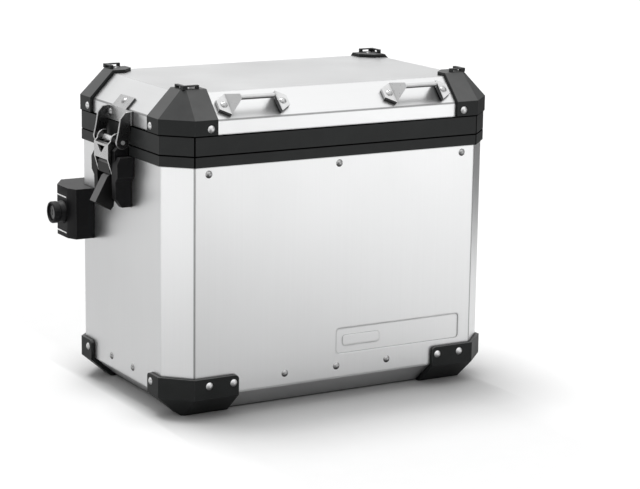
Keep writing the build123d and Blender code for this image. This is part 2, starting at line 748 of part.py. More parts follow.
def make_hook():
    """Steel hook: a web with a shelf on top, between two cheeks that hook over the bar."""
    bar = (END + BAR_OUT, BAR_Z)
    pivot = (END + HOOK_PIVOT_OUT, HOOK_PIVOT_Z)
    jaw_z = BAR_Z + HOOK_GRIP_RADIUS
    throat = bar[0] + HOOK_GRIP_RADIUS
    web = END + WEB_OUT
    with BuildPart() as hook:
        with BuildSketch(Plane.XZ):
            Polygon(
                (bar[0] + HOOK_EYE_RADIUS, BAR_Z),
                (web, WEB_TOP_Z),
                (web, WEB_LOW_Z),
                (pivot[0] + HOOK_BARREL, pivot[1]),
                (pivot[0] - HOOK_HEEL_IN, pivot[1] + HOOK_HEEL_UP),
                (throat + HOOK_THROAT_LEAN, WEB_LOW_Z),
                (throat, BAR_Z),
                align=None,
            )
            with Locations(pivot):
                Circle(HOOK_BARREL)
            with Locations(bar):
                Circle(HOOK_EYE_RADIUS)
                Circle(HOOK_GRIP_RADIUS, mode=Mode.SUBTRACT)
            with Locations((throat, BAR_Z)):
                Rectangle(
                    2 * HOOK_EYE_RADIUS,
                    HOOK_EYE_RADIUS,
                    align=(Align.MAX, Align.MAX),
                    mode=Mode.SUBTRACT,
                )
            with Locations((bar[0], jaw_z)):
                Rectangle(
                    HOOK_EYE_RADIUS,
                    HOOK_EYE_RADIUS,
                    align=(Align.MAX, Align.MAX),
                    mode=Mode.SUBTRACT,
                )
            with Locations((bar[0] - HOOK_TIP, jaw_z)):
                Rectangle(
                    HOOK_EYE_RADIUS,
                    2 * HOOK_EYE_RADIUS,
                    align=(Align.MAX, Align.CENTER),
                    mode=Mode.SUBTRACT,
                )
        extrude(amount=HOOK_HALF, both=True)
        with BuildSketch(Plane.XZ):
            with Locations((web - HOOK_THICK, HOOK_PIVOT_Z - 2 * HOOK_BARREL)):
                Rectangle(
                    2 * WEB_OUT,
                    WEB_TOP_Z - HOOK_THICK - HOOK_PIVOT_Z + 2 * HOOK_BARREL,
                    align=(Align.MAX, Align.MIN),
                )
            with Locations((web - SHELF_DEEP, HOOK_PIVOT_Z)):
                Rectangle(2 * WEB_OUT, 2 * WEB_OUT, align=(Align.MAX, Align.MIN))
            with Locations((web, WEB_TOP_Z)):
                Rectangle(2 * WEB_OUT, WEB_OUT, align=(Align.MAX, Align.MIN))
            with Locations((web, WEB_LOW_Z)):
                Rectangle(2 * WEB_OUT, WEB_OUT, align=(Align.MAX, Align.MAX))
        extrude(amount=HOOK_HALF - HOOK_THICK, both=True, mode=Mode.SUBTRACT)
        with BuildSketch(Plane.YZ.offset(web - 1.5 * HOOK_THICK)):
            Polygon(
                (-NOTCH_HALF, WEB_TOP_Z - HOOK_THICK),
                (-NOTCH_BOTTOM_HALF, NOTCH_BOTTOM_Z),
                (NOTCH_BOTTOM_HALF, NOTCH_BOTTOM_Z),
                (NOTCH_HALF, WEB_TOP_Z - HOOK_THICK),
                align=None,
            )
        extrude(amount=2 * HOOK_THICK, mode=Mode.SUBTRACT)
        with BuildSketch(Plane.XZ):
            with Locations(pivot):
                Circle(HOOK_PIN_RADIUS + PIN_CLEARANCE)
        extrude(amount=HOOK_HALF, both=True, mode=Mode.SUBTRACT)
    return hook.part


def make_hook_pin():
    """Pin that joins the hook's cheeks to the lever."""
    with BuildPart() as pin:
        with BuildSketch(Plane.XZ):
            with Locations((END + HOOK_PIVOT_OUT, HOOK_PIVOT_Z)):
                Circle(HOOK_PIN_RADIUS)
        extrude(amount=HOOK_HALF, both=True)
    return pin.part


def make_lever():
    """Moulded lever: a wide head on the pins, and a thick wedge of a grip that leans outward."""
    pivot = (END + LEVER_PIVOT_OUT, LEVER_PIVOT_Z)
    hook_pivot = (END + HOOK_PIVOT_OUT, HOOK_PIVOT_Z)
    with BuildPart() as lever:
        with BuildSketch(Plane.XZ):
            Polygon(*on_end(LEVER_GRIP_PROFILE), align=None)
        extrude(amount=LEVER_HALF, both=True)
        with BuildSketch(Plane.XZ):
            Polygon(*on_end(LEVER_HEAD_PROFILE), align=None)
            with Locations(pivot):
                Circle(LEVER_HUB_RADIUS)
            with Locations(hook_pivot):
                Circle(LEVER_BOSS_RADIUS)
        extrude(amount=LEVER_HEAD_HALF, both=True)
        with BuildSketch(Plane.XZ):
            with Locations(pivot):
                Circle(LEVER_PIN_RADIUS + PIN_CLEARANCE)
            with Locations(hook_pivot):
                Circle(HOOK_PIN_RADIUS)
        extrude(amount=LEVER_HEAD_HALF, both=True, mode=Mode.SUBTRACT)
    return lever.part


def make_lever_pin():
    """Pin across the housing that the lever turns on."""
    with BuildPart() as pin:
        with BuildSketch(Plane.XZ):
            with Locations((END + LEVER_PIVOT_OUT, LEVER_PIVOT_Z)):
                Circle(LEVER_PIN_RADIUS)
        extrude(amount=LEVER_PIN_HALF, both=True)
    return pin.part


def make_latch_housing():
    """Moulded housing on the end wall, with the lever and hook in its recess."""
    with BuildPart() as housing:
        with BuildSketch(Plane.XZ):
            Polygon(*on_end(HOUSING_PROFILE), align=None)
        extrude(amount=HOUSING_UPPER_HALF, both=True)
        for side in (-1, 1):
            with BuildSketch(Plane.YZ.offset(END)):
                Polygon(
                    (side * HOUSING_HALF, 0),
                    (side * HOUSING_HALF, HOUSING_UPPER_Z - HOUSING_STEP),
                    (side * HOUSING_UPPER_HALF, HOUSING_UPPER_Z),
                    (side * 2 * HOUSING_UPPER_HALF, HOUSING_UPPER_Z),
                    (side * 2 * HOUSING_UPPER_HALF, 0),
                    align=None,
                )
            extrude(amount=2 * HOUSING_DEEP, mode=Mode.SUBTRACT)
        with BuildSketch(Plane.XZ):
            Polygon(*on_end(HOUSING_NECK_PROFILE), align=None)
        extrude(amount=HOUSING_NECK_HALF, both=True)
        with BuildSketch(Plane.YZ.offset(END + HOUSING_BACK)):
            Rectangle(2 * RECESS_HALF, 2 * HOUSING_NECK_Z, align=(Align.CENTER, Align.MIN))
        extrude(amount=2 * HOUSING_DEEP, mode=Mode.SUBTRACT)
        with BuildSketch(Plane.XZ):
            with Locations((END + LEVER_PIVOT_OUT, LEVER_PIVOT_Z)):
                Circle(LEVER_PIN_RADIUS)
        extrude(amount=LEVER_PIN_HALF, both=True, mode=Mode.SUBTRACT)
        add(LATCH_HOLES, mode=Mode.SUBTRACT)
    return housing.part


# Carrier lock, on the rear left corner
LOCK_AXIS = Plane((-END, LOCK_Y, LOCK_Z), x_dir=(0, 1, 0), z_dir=(-1, 0, 0))
CLAW_PLANE = Plane((-END - CLAW_OUT, 0, 0), x_dir=(0, 1, 0), z_dir=(1, 0, 0))


def lock_plug(start, stop, radius):
    """Round plug on the lock's axis between two distances out from the wall."""
    with BuildPart() as plug:
        with BuildSketch(LOCK_AXIS.offset(start)):
            Circle(radius)
        extrude(amount=stop - start)
    return plug.part


def make_lock_housing():
    """Moulding wrapped round the corner, with two slits and a slot for the claw."""
    outline = [
        (-END, LOCK_FRONT_Y),
        (-END - LOCK_CORNER_OUT, LOCK_FRONT_Y),
        (-END - LOCK_FACE_OUT, LOCK_FRONT_Y + LOCK_CORNER),
        (-END - LOCK_FACE_OUT, LOCK_BEND_Y),
        (-END - LOCK_HEEL_OUT, LOCK_REAR_Y),
        (-END + LOCK_WRAP, LOCK_REAR_Y),
        (-END + LOCK_WRAP, SIDE),
        (-END + CORNER_CUT, SIDE),
        (-END, SIDE - CORNER_CUT),
    ]
    slot_y = CLAW_FRONT_Y - CLAW_TRAVEL - CLAW_SLOT_SPARE
    seat = lock_plug(LOCK_FACE_OUT - BARREL_SEAT, LOCK_FACE_OUT, BARREL_ROOT_RADIUS)
    bore = lock_plug(CLAW_OUT, LOCK_FACE_OUT, CYLINDER_RADIUS + PIN_CLEARANCE)
    with BuildPart() as housing:
        with BuildSketch(Plane.XY.offset(LOCK_LOW_Z)):
            Polygon(*outline, align=None)
        extrude(amount=LOCK_HEIGHT)
        with Locations((-END, slot_y, CLAW_LOW_Z - CLAW_CLEARANCE)):
            Box(
                CLAW_OUT + CLAW_THICK + CLAW_CLEARANCE,
                2 * (LOCK_REAR_Y - slot_y),
                CLAW_HEIGHT + 2 * CLAW_CLEARANCE,
                align=(Align.MAX, Align.MIN, Align.MIN),
                mode=Mode.SUBTRACT,
            )
        with Locations(*[(-END - LOCK_FACE_OUT, SLIT_FRONT_Y, slit_z) for slit_z in SLIT_Z]):
            Box(
                2 * SLIT_DEPTH,
                SIDE,
                SLIT_HEIGHT,
                align=(Align.CENTER, Align.MIN, Align.CENTER),
                mode=Mode.SUBTRACT,
            )
        add([seat, bore, LOCK_HOLES], mode=Mode.SUBTRACT)
    return housing.part


def make_lock_barrel():
    """Collar round the key cylinder: seat, waist and rim."""
    root = LOCK_FACE_OUT - BARREL_SEAT
    with BuildPart() as barrel:
        with BuildSketch(Plane.XZ):
            with BuildLine():
                Polyline(
                    (CYLINDER_RADIUS + PIN_CLEARANCE, root),
                    (BARREL_ROOT_RADIUS, root),
                    (BARREL_ROOT_RADIUS, LOCK_FACE_OUT + BARREL_FLANGE),
                    (BARREL_NECK_RADIUS, BARREL_RIM_OUT),
                    (BARREL_RIM_RADIUS, BARREL_RIM_OUT),
                    (BARREL_RIM_RADIUS, BARREL_END_OUT - BARREL_BEVEL),
                    (BARREL_RIM_RADIUS - BARREL_BEVEL, BARREL_END_OUT),
                    (BARREL_RIM_RADIUS - BARREL_LIP, BARREL_END_OUT),
                    (BARREL_RIM_RADIUS - BARREL_LIP, BARREL_END_OUT - BARREL_CUP),
                    (CYLINDER_RADIUS + PIN_CLEARANCE, BARREL_END_OUT - BARREL_CUP),
                    close=True,
                )
            make_face()
        revolve(axis=Axis.Z)
    with BuildPart() as placed:
        with Locations(LOCK_AXIS):
            add(barrel.part)
    return placed.part


def make_lock_cylinder():
    """Key cylinder with a key slot in front and a crank pin behind."""
    pin_at = CRANK / sqrt(2)
    with BuildPart() as cylinder:
        with BuildSketch(LOCK_AXIS.offset(CYLINDER_BACK_OUT)):
            Circle(CYLINDER_RADIUS)
        extrude(amount=CYLINDER_FACE_OUT - CYLINDER_BACK_OUT)
        with BuildSketch(LOCK_AXIS.offset(CYLINDER_FACE_OUT)):
            SlotOverall(KEY_SLOT_LENGTH, KEY_SLOT_WIDTH, rotation=90)
        extrude(amount=-KEY_SLOT_DEPTH, mode=Mode.SUBTRACT)
        with Locations((-END - CYLINDER_BACK_OUT, LOCK_Y + pin_at, LOCK_Z + pin_at)):
            Cylinder(
                CRANK_PIN_RADIUS,
                CYLINDER_BACK_OUT - CLAW_OUT - CRANK_PIN_GAP,
                rotation=(0, 90, 0),
                align=(Align.CENTER, Align.CENTER, Align.MIN),
            )
    return cylinder.part


def make_claw():
    """Flat bolt whose rear end hooks the carrier; a slot takes the crank pin."""
    pin_at = CRANK / sqrt(2)
    reach = CRANK_PIN_RADIUS + CRANK_SLOT_CLEARANCE
    notch_y = LOCK_REAR_Y + CLAW_SLOT_SPARE
    with BuildPart() as claw:
        with Locations((-END - CLAW_OUT, CLAW_FRONT_Y, CLAW_LOW_Z)):
            Box(
                CLAW_THICK,
                CLAW_REAR_Y - CLAW_FRONT_Y,
                CLAW_HEIGHT,
                align=(Align.MAX, Align.MIN, Align.MIN),
            )
        with BuildSketch(CLAW_PLANE):
            with Locations((LOCK_Y + pin_at, LOCK_Z + (pin_at + CRANK) / 2)):
                SlotCenterToCenter(CRANK - pin_at + CRANK_SLOT_SPARE, 2 * reach, rotation=90)
            with Locations((notch_y, CLAW_LOW_Z)):
                Rectangle(CLAW_NOTCH_LENGTH, CLAW_NOTCH_HEIGHT, align=(Align.MIN, Align.MIN))
        extrude(amount=-CLAW_THICK, mode=Mode.SUBTRACT)
    return claw.part


def make_carrier_hook(middle):
    """Plate with a half-round hook that drops over the carrier tube."""
    outer = TUBE_SEAT_RADIUS + HOOK_WALL
    with BuildPart() as hook:
        with Locations((middle, SIDE, HOOK_PLATE_LOW_Z)):
            Box(
                2 * HOOK_PLATE_HALF,
                HOOK_PLATE_THICK,
                HOOK_PLATE_TOP_Z - HOOK_PLATE_LOW_Z,
                align=(Align.CENTER, Align.MIN, Align.MIN),
            )
        with BuildSketch(Plane.YZ.offset(middle)):
            with Locations((TUBE_Y, TUBE_Z)):
                Circle(outer)
                Rectangle(2 * outer, 2 * TUBE_SEAT_RADIUS, align=(Align.CENTER, Align.MAX))
            with Locations((SIDE + HOOK_PLATE_THICK, HOOK_PLATE_LOW_Z)):
                Rectangle(
                    TUBE_Y - SIDE - HOOK_PLATE_THICK,
                    HOOK_BLOCK_HEIGHT,
                    align=(Align.MIN, Align.MIN),
                )
            with Locations((TUBE_Y, TUBE_Z)):
                Circle(TUBE_SEAT_RADIUS, mode=Mode.SUBTRACT)
                Rectangle(
                    2 * TUBE_SEAT_RADIUS,
                    4 * outer,
                    align=(Align.CENTER, Align.MAX),
                    mode=Mode.SUBTRACT,
                )
            with Locations((SIDE, 0)):
                Rectangle(
                    4 * outer,
                    HOOK_MOUTH_Z,
                    align=(Align.MIN, Align.MIN),
                    mode=Mode.SUBTRACT,
                )
        extrude(amount=HOOK_BLOCK_HALF, both=True)
        with Locations((middle, SIDE, TUBE_Z)):
            Box(
                2 * HOOK_BLOCK_HALF,
                2 * HOOK_WALL,
                2 * HOOK_PLATE_TOP_Z,
                align=(Align.CENTER, Align.MAX, Align.CENTER),
                mode=Mode.SUBTRACT,
            )
        add(CARRIER_HOLES, mode=Mode.SUBTRACT)
    return hook.part


finish(make_body_shell(), "body_shell")
finish(make_base_pan(), "base_pan")
finish(make_body_rim(), "body_rim")
finish(rivets(RIM_PLACES, SHEET_GRIP), "rim_rivets")
finish(rivets(PAN_PLACES, SHEET_GRIP), "base_pan_rivets")
finish(rivets(BASE_GUARD_PLACES, GUARD_GRIP), "base_guard_rivets")
finish(rivets(CARRIER_PLACES, GUARD_GRIP), "carrier_hook_rivets")
finish(make_lid_shell(), "lid_shell")
finish(make_lid_rim(), "lid_rim")
finish(make_lid_seal(), "lid_seal")
finish(rivets(LID_GUARD_PLACES, GUARD_GRIP), "lid_guard_rivets")
finish(rivets(HANDLE_PLACES, GUARD_GRIP), "handle_rivets")
finish(rivets(BRACKET_PLACES, SHEET_GRIP), "latch_bracket_rivets")

base_guard = make_base_guard()
lid_guard = make_lid_guard()
for corner_name, mirrors in CORNERS.items():
    finish(corner_copy(base_guard, mirrors), f"base_guard_{corner_name}")
    finish(corner_copy(lid_guard, mirrors), f"lid_guard_{corner_name}")

finish(make_handle(-HANDLE_X), "tie_down_handle_left")
finish(make_handle(HANDLE_X), "tie_down_handle_right")
finish(make_carrier_hook(-CARRIER_HOOK_X), "carrier_hook_left")
finish(make_carrier_hook(CARRIER_HOOK_X), "carrier_hook_right")

LATCH_PIECES = {
    "latch_bracket": make_latch_bracket(),
    "latch_bar": make_latch_bar(),
    "latch_hook": make_hook(),
    "latch_hook_pin": make_hook_pin(),
    "latch_lever": make_lever(),
    "latch_lever_pin": make_lever_pin(),
    "latch_housing": make_latch_housing(),
    "latch_screws": screws(LATCH_SCREW_PLACES, **LATCH_SCREW),
}
for piece_name, piece in LATCH_PIECES.items():
    finish(mirrored(piece), f"{piece_name}_left")
    finish(piece, f"{piece_name}_right")

finish(make_lock_housing(), "carrier_lock_housing")
finish(make_lock_barrel(), "carrier_lock_barrel")
finish(make_lock_cylinder(), "carrier_lock_cylinder")
finish(make_claw(), "carrier_lock_claw")
finish(screws(LOCK_SCREW_PLACES, **LOCK_SCREW), "carrier_lock_screws")
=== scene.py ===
"""Aluminium motorcycle side case: materials, edges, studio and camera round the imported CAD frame."""

import json
import math

import bmesh
import bpy
from mathutils import Matrix, Vector


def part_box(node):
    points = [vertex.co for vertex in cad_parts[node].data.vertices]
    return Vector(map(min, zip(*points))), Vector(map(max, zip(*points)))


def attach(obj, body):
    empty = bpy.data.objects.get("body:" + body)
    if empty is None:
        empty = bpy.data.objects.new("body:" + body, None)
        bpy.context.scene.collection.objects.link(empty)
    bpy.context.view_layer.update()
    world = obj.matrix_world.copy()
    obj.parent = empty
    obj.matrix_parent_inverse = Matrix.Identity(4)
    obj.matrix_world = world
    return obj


MM = 0.001

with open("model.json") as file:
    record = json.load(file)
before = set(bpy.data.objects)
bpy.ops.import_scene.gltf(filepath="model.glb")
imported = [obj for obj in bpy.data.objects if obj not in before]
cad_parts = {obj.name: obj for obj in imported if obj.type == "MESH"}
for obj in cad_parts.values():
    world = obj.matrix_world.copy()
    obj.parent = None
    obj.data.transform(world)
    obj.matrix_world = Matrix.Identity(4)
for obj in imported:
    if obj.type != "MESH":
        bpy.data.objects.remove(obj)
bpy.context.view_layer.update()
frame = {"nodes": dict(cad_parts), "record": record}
nodes = frame["nodes"]


# ---------------------------------------------------------------- node helpers

def material(name):
    """A new material with its tree and its principled shader."""
    made = bpy.data.materials.new(name)
    made.use_nodes = True
    return made, made.node_tree, made.node_tree.nodes["Principled BSDF"]


def set_inputs(node, **values):
    """Sets a node's inputs by name, with underscores for spaces."""
    for key, value in values.items():
        node.inputs[key.replace("_", " ")].default_value = value


def own_place(tree):
    """X, Y and Z in the object's own frame, as sockets by name."""
    place = tree.nodes.new("ShaderNodeTexCoord")
    split = tree.nodes.new("ShaderNodeSeparateXYZ")
    tree.links.new(place.outputs["Object"], split.inputs["Vector"])
    return split.outputs


def own_normal(tree):
    """X, Y and Z of the face's normal in the object's own frame, as sockets by name."""
    geometry = tree.nodes.new("ShaderNodeNewGeometry")
    turn = tree.nodes.new("ShaderNodeVectorTransform")
    turn.vector_type = "NORMAL"
    turn.convert_from = "WORLD"
    turn.convert_to = "OBJECT"
    split = tree.nodes.new("ShaderNodeSeparateXYZ")
    tree.links.new(geometry.outputs["Normal"], turn.inputs["Vector"])
    tree.links.new(turn.outputs["Vector"], split.inputs["Vector"])
    return split.outputs


def noise(tree, scale, detail=2.0, roughness=0.5):
    """Noise over the object's own coordinates; scale is the number of lumps a metre along X, Y and Z."""
    place = tree.nodes.new("ShaderNodeTexCoord")
    mapping = tree.nodes.new("ShaderNodeMapping")
    mapping.inputs["Scale"].default_value = scale
    texture = tree.nodes.new("ShaderNodeTexNoise")
    set_inputs(texture, Scale=1.0, Detail=detail, Roughness=roughness)
    tree.links.new(place.outputs["Object"], mapping.inputs["Vector"])
    tree.links.new(mapping.outputs["Vector"], texture.inputs["Vector"])
    return texture.outputs["Fac"]


def remap(tree, source, low, high, out_low, out_high):
    """Source from low..high to out_low..out_high, clamped."""
    node = tree.nodes.new("ShaderNodeMapRange")
    tree.links.new(source, node.inputs["Value"])
    set_inputs(node, From_Min=low, From_Max=high, To_Min=out_low, To_Max=out_high)
    return node.outputs["Result"]


def maths(tree, operation, a, b=0.0):
    """One maths node; a and b are sockets or numbers."""
    node = tree.nodes.new("ShaderNodeMath")
    node.operation = operation
    for slot, value in enumerate((a, b)):
        if isinstance(value, (int, float)):
            node.inputs[slot].default_value = value
        else:
            tree.links.new(value, node.inputs[slot])
    return node.outputs["Value"]


def times(tree, first, *others):
    """Product of a socket with sockets or numbers."""
    for other in others:
        first = maths(tree, "MULTIPLY", first, other)
    return first


def mix_colour(tree, factor, a, b):
    """Colour a where factor is 0, colour b where it is 1; a and b are sockets or colours."""
    node = tree.nodes.new("ShaderNodeMix")
    node.data_type = "RGBA"
    tree.links.new(factor, node.inputs["Factor"])
    for slot, value in (("A", a), ("B", b)):
        socket = [s for s in node.inputs if s.name == slot and s.type == "RGBA"][0]
        if isinstance(value, (tuple, list)):
            socket.default_value = (*value[:3], 1.0)
        else:
            tree.links.new(value, socket)
    return [s for s in node.outputs if s.type == "RGBA"][0]


def tinted(tree, brightness, tint):
    """Colour from one brightness and its shares of red, green and blue."""
    colour = tree.nodes.new("ShaderNodeCombineColor")
    for channel, share in zip(("Red", "Green", "Blue"), tint):
        tree.links.new(times(tree, brightness, share), colour.inputs[channel])
    return colour.outputs["Color"]


def bump(tree, height, distance, strength=1.0, normal=None):
    """Bump normal from a height socket; distance is in metres."""
    node = tree.nodes.new("ShaderNodeBump")
    set_inputs(node, Strength=strength, Distance=distance)
    tree.links.new(height, node.inputs["Height"])
    if normal is not None:
        tree.links.new(normal, node.inputs["Normal"])
    return node.outputs["Normal"]


def rounded(tree, radius):
    """Normal with the edges rolled over at a radius."""
    bevel = tree.nodes.new("ShaderNodeBevel")
    bevel.samples = 4
    bevel.inputs["Radius"].default_value = radius
    return bevel.outputs["Normal"]


def edge_mask(tree, radius):
    """1 along outer and inner edges, 0 on open faces."""
    plain = tree.nodes.new("ShaderNodeNewGeometry")
    dot = tree.nodes.new("ShaderNodeVectorMath")
    dot.operation = "DOT_PRODUCT"
    tree.links.new(rounded(tree, radius), dot.inputs[0])
    tree.links.new(plain.outputs["Normal"], dot.inputs[1])
    return remap(tree, dot.outputs["Value"], 0.995, 0.85, 0.0, 1.0)


def contact(tree, reach):
    """1 in the open, falling to 0 where another surface stands within reach."""
    node = tree.nodes.new("ShaderNodeAmbientOcclusion")
    node.samples = 8
    node.inputs["Distance"].default_value = reach
    return node.outputs["AO"]


def line_mask(tree, axis, places, half):
    """0 within half of any place along an axis of the object's frame, 1 elsewhere."""
    along = own_place(tree)[axis]
    masks = []
    for at in places:
        away = maths(tree, "ABSOLUTE", maths(tree, "SUBTRACT", along, at))
        masks.append(remap(tree, away, 0.75 * half, 1.25 * half, 0.0, 1.0))
    return times(tree, *masks)


# ------------------------------------------------------------------- materials

# What is left of a metal's brightness in the seams between pieces, a painted shade, and on a rivet above the
# lid
SEAM_TONE = 0.25
DULL_TONE = 0.16
# Lines of the brushed sheet: how many cross a metre, the fine and the coarse ones, their shares, and
# how many follow each other along it
BRUSH_LINES = (1100.0, 260.0)
BRUSH_SHARES = (0.65, 0.35)
BRUSH_ALONG = 5.0
# Radius that light rolls over at the folds of the sheet
FOLD_RADIUS = 3.0 * MM
# Half the width of the painted dark reflection along a bend of the sheet, and what is left of its brightness
# there
BEND_HALF = 1.1 * MM
BEND_TONE = 0.5
# Painted sheen on the corner facets of the guards, against the painted sheen on the other slopes
CORNER_SHEEN = 0.55
# Half the width of the painted shaded line where two bands or guards meet, and the black of painted shade in
# the seams
LINE_HALF = 0.9 * MM
SEAM_BLACK = (0.001, 0.001, 0.001)


def brush_marks(tree, upright):
    """Lines of a brushed sheet, upright, or level and along each wall."""
    if upright:
        streaks = [noise(tree, (lines, lines, BRUSH_ALONG), 3.0, 0.6) for lines in BRUSH_LINES]
    else:
        on_end = maths(tree, "GREATER_THAN", maths(tree, "ABSOLUTE", own_normal(tree)["X"]), 0.45)
        on_side = maths(tree, "SUBTRACT", 1.0, on_end)
        streaks = []
        for lines in BRUSH_LINES:
            lengthwise = noise(tree, (BRUSH_ALONG, lines, lines), 3.0, 0.6)
            crosswise = noise(tree, (lines, BRUSH_ALONG, lines), 3.0, 0.6)
            streaks.append(
                maths(tree, "ADD", times(tree, crosswise, on_end), times(tree, lengthwise, on_side))
            )
    parts = [times(tree, streak, share) for streak, share in zip(streaks, BRUSH_SHARES)]
    return maths(tree, "ADD", *parts)


def brushed_sheet(name, tone, rough, upright, fold_reflection_tone, bends):
    """Brushed aluminium sheet.

    The fold tone dims every edge, a painted dark reflection; bends are the axis and the places of bends that
    show as darker lines, painted dark reflections.
    """
    made, tree, shader = material(name)
    lines = brush_marks(tree, upright)
    haze = noise(tree, (7.0, 7.0, 5.0), 3.0, 0.55)
    shade = maths(
        tree,
        "ADD",
        remap(tree, lines, 0.3, 0.7, -0.012, 0.012),
        remap(tree, haze, 0.3, 0.7, -0.015, 0.015),
    )
    # Every edge and every bend painted darker: painted dark reflections of the folds
    fold = remap(tree, edge_mask(tree, 1.3 * MM), 0.0, 0.5, 1.0, fold_reflection_tone)
    bend = remap(tree, line_mask(tree, *bends, BEND_HALF), 0.0, 1.0, BEND_TONE, 1.0)
    # Darker where another surface stands close by: painted shade in the seams
    seam = remap(tree, contact(tree, 3.0 * MM), 0.35, 0.85, SEAM_TONE, 1.0)
    brightness = times(tree, maths(tree, "ADD", shade, tone), fold, bend, seam)
    tree.links.new(tinted(tree, brightness, (0.995, 1.0, 1.003)), shader.inputs["Base Color"])
    roughness = maths(
        tree,
        "ADD",
        remap(tree, lines, 0.3, 0.7, rough - 0.02, rough + 0.02),
        remap(tree, haze, 0.3, 0.7, -0.03, 0.03),
    )
    tree.links.new(roughness, shader.inputs["Roughness"])
    swell = noise(tree, (4.0, 4.0, 3.0), 1.0, 0.4)
    waves = bump(tree, swell, 0.6 * MM, 1.0, rounded(tree, FOLD_RADIUS))
    tree.links.new(bump(tree, lines, 0.005 * MM, 1.0, waves), shader.inputs["Normal"])
    set_inputs(shader, Metallic=1.0)
    return made


def satin_metal(
    name, tone, rough, edge_gain=0.15, seam_reach=2.0 * MM, cheek_shade_tone=1.0, underside_shade_tone=1.0, dull_above=None
):
    """Satin metal with fine lumps, brighter along its edges.

    The cheek tone dims the faces square to Y and the under tone those that look down, both painted shade;
    above dull_above all is dim.
    """
    made, tree, shader = material(name)
    lumps = noise(tree, (420.0, 420.0, 420.0), 4.0, 0.6)
    smear = noise(tree, (60.0, 60.0, 60.0), 2.0, 0.5)
    shade = remap(tree, smear, 0.3, 0.7, tone - 0.05, tone + 0.03)
    # Darker where another surface stands close by: painted shade in the seams and round the rivets
    shade = times(tree, shade, remap(tree, contact(tree, seam_reach), 0.4, 0.95, SEAM_TONE, 1.0))
    # Faces square to Y painted darker: painted shade
    if cheek_shade_tone < 1.0:
        sideways = maths(tree, "ABSOLUTE", own_normal(tree)["Y"])
        shade = times(tree, shade, remap(tree, sideways, 0.75, 0.95, 1.0, cheek_shade_tone))
    # Faces that look down painted darker: painted shade
    if underside_shade_tone < 1.0:
        shade = times(tree, shade, remap(tree, own_normal(tree)["Z"], -0.45, 0.25, underside_shade_tone, 1.0))
    if dull_above is not None:
        height = own_place(tree)["Z"]
        shade = times(tree, shade, remap(tree, height, dull_above, dull_above + 1.0 * MM, 1.0, DULL_TONE))
    bright = maths(tree, "ADD", shade, times(tree, edge_mask(tree, 0.6 * MM), edge_gain))
    tree.links.new(tinted(tree, bright, (0.995, 0.998, 1.0)), shader.inputs["Base Color"])
    tree.links.new(remap(tree, lumps, 0.3, 0.7, rough - 0.06, rough + 0.08), shader.inputs["Roughness"])
    tree.links.new(bump(tree, lumps, 0.02 * MM, 0.6), shader.inputs["Normal"])
    set_inputs(shader, Metallic=1.0)
    return made


def moulding(name, colour, rough, grain, specular, scuff_and_highlight, top_sheen, level_lines=False, dark_lines=()):
    """Black moulded plastic with a fine spark-eroded grain, scuffed and with a painted highlight along its
    edges, with a painted sheen on top.

    grain is the number of lumps a metre; dark_lines are (axis, places) pairs of the seams that cross it,
    painted as shaded lines.
    """
    made, tree, shader = material(name)
    if level_lines:
        lumps = noise(tree, (30.0, 30.0, grain), 3.0, 0.6)
    else:
        lumps = noise(tree, (grain, grain, grain), 2.0, 0.6)
    dust_and_sheen = noise(tree, (26.0, 26.0, 26.0), 4.0, 0.6)
    patchy = noise(tree, (190.0, 190.0, 190.0), 3.0, 0.6)
    worn = tuple(1.35 * c + 0.002 for c in colour)
    base = mix_colour(tree, remap(tree, dust_and_sheen, 0.35, 0.75, 0.0, 1.0), colour, worn)
    # Edges painted lighter: partly scuffing, partly a painted highlight
    edge = times(tree, edge_mask(tree, 0.8 * MM), remap(tree, patchy, 0.35, 0.65, 0.25, 1.0))
    normal = own_normal(tree)
    diagonal = maths(tree, "ABSOLUTE", times(tree, normal["X"], normal["Y"]))
    # Faces that look up painted lighter, less on the corner facets: a painted sheen
    upward = times(
        tree,
        remap(tree, normal["Z"], 0.15, 0.75, 0.0, 1.0),
        remap(tree, dust_and_sheen, 0.3, 0.7, 0.75, 1.0),
        remap(tree, diagonal, 0.1, 0.22, 1.0, CORNER_SHEEN),
    )
    with_sheen = mix_colour(tree, upward, base, tuple(c + top_sheen for c in colour))
    clean = mix_colour(tree, edge, with_sheen, tuple(c + scuff_and_highlight for c in colour))
    # Black where another surface stands close by and along the seams: painted shade, with the specular taken
    # out there too
    seam = remap(tree, contact(tree, 2.5 * MM), 0.35, 0.9, 0.0, 1.0)
    for axis, places in dark_lines:
        seam = times(tree, seam, line_mask(tree, axis, places, LINE_HALF))
    tree.links.new(mix_colour(tree, seam, SEAM_BLACK, clean), shader.inputs["Base Color"])
    tree.links.new(times(tree, seam, specular), shader.inputs["Specular IOR Level"])
    tree.links.new(remap(tree, dust_and_sheen, 0.3, 0.7, rough - 0.05, rough + 0.06), shader.inputs["Roughness"])
    tree.links.new(bump(tree, lumps, 0.03 * MM, 0.7), shader.inputs["Normal"])
    return made


def soft_rubber(name):
    """Matt rubber with a faint bloom."""
    made, tree, shader = material(name)
    bloom = noise(tree, (90.0, 90.0, 90.0), 4.0, 0.65)
    pale = remap(tree, bloom, 0.4, 0.7, 0.0, 1.0)
    colour = mix_colour(tree, pale, (0.012, 0.012, 0.012), (0.03, 0.03, 0.032))
    tree.links.new(colour, shader.inputs["Base Color"])
    tree.links.new(remap(tree, bloom, 0.3, 0.7, 0.65, 0.85), shader.inputs["Roughness"])
    tree.links.new(bump(tree, bloom, 0.05 * MM, 0.5), shader.inputs["Normal"])
    return made


